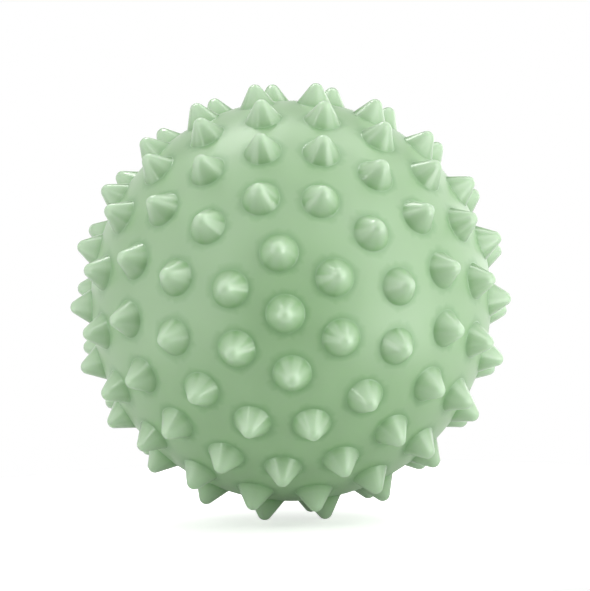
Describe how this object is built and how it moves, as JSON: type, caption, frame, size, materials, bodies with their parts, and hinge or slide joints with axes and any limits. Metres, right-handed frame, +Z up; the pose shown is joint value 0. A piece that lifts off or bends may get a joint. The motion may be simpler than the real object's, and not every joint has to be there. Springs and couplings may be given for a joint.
{
  "type": "sensory ball",
  "caption": "Hollow soft ball covered in rings of blunt spikes, for gripping, rolling and massage, with a self-sealing needle valve in one pole.",
  "frame": {"origin": "centre of the ball", "axes": "+Z up with the ball standing on three spikes; -Y points to the front pole of the rings of spikes, which dips by 1.54 degrees; +X to the right seen from the front"},
  "size_m": [0.0892, 0.0885, 0.0889],
  "materials": {
    "skin": "satin soft PVC, rotocast",
    "valve_housing": "satin soft PVC, moulded",
    "valve_rubber": "matte rubber"
  },
  "bodies": {
    "root": {"ball_skin": "skin", "valve_housing": "valve_housing", "valve_core": "valve_rubber"}
  },
  "joints": []
}
